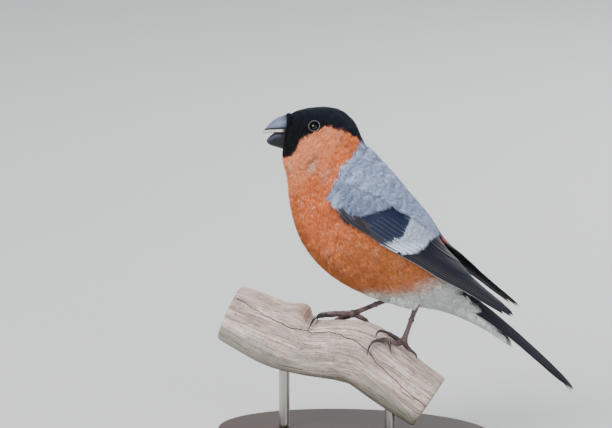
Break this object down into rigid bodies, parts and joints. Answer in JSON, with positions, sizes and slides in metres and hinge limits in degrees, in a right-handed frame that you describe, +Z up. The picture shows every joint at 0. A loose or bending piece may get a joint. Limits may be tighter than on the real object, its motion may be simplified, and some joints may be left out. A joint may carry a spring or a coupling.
{
  "type": "bullfinch",
  "caption": "Male bullfinch with its bill slightly open, gripping a cut length of weathered branch that a small oval display stand holds up on short rods.",
  "frame": {"origin": "centre of the stand base's underside, below the bird's plane of symmetry", "axes": "+Z up; the bird faces -X, its left side is towards -Y, and its body's plane of symmetry is y = 0"},
  "size_m": [0.1341, 0.066, 0.1289],
  "materials": {
    "black_feather": "glossy blue-black plumage of the cap, flight feathers and tail",
    "orange_feather": "soft salmon-orange plumage of the cheeks, breast and belly, with the grey mantle and white vent in the same coat",
    "white_feather": "soft white down of the leg feathering",
    "bill_horn": "satin black-grey horn with a pale cutting edge",
    "eye": "wet, nearly black eye",
    "leg_skin": "scaly pinkish brown skin",
    "claw": "glossy dark horn",
    "perch_wood": "barkless weathered wood with a fine grain and a long crack",
    "stand_wood": "dark stained, satin varnish",
    "stand_metal": "satin rod"
  },
  "bodies": {
    "root": {"head": "black_feather", "neck": "orange_feather", "torso": "orange_feather", "tail": "black_feather", "wing_left": "black_feather", "wing_right": "black_feather", "thigh_left": "white_feather", "thigh_right": "white_feather", "bill_upper": "bill_horn", "bill_lower": "bill_horn", "eye_left": "eye", "eye_right": "eye", "tarsus_left": "leg_skin", "tarsus_right": "leg_skin", "foot_left": "leg_skin", "foot_right": "leg_skin", "claw_left_inner": "claw", "claw_left_middle": "claw", "claw_left_outer": "claw", "claw_left_hind": "claw", "claw_right_inner": "claw", "claw_right_middle": "claw", "claw_right_outer": "claw", "claw_right_hind": "claw", "perch": "perch_wood", "stand_base": "stand_wood", "stand_rod_front": "stand_metal", "stand_rod_back": "stand_metal"}
  },
  "joints": []
}
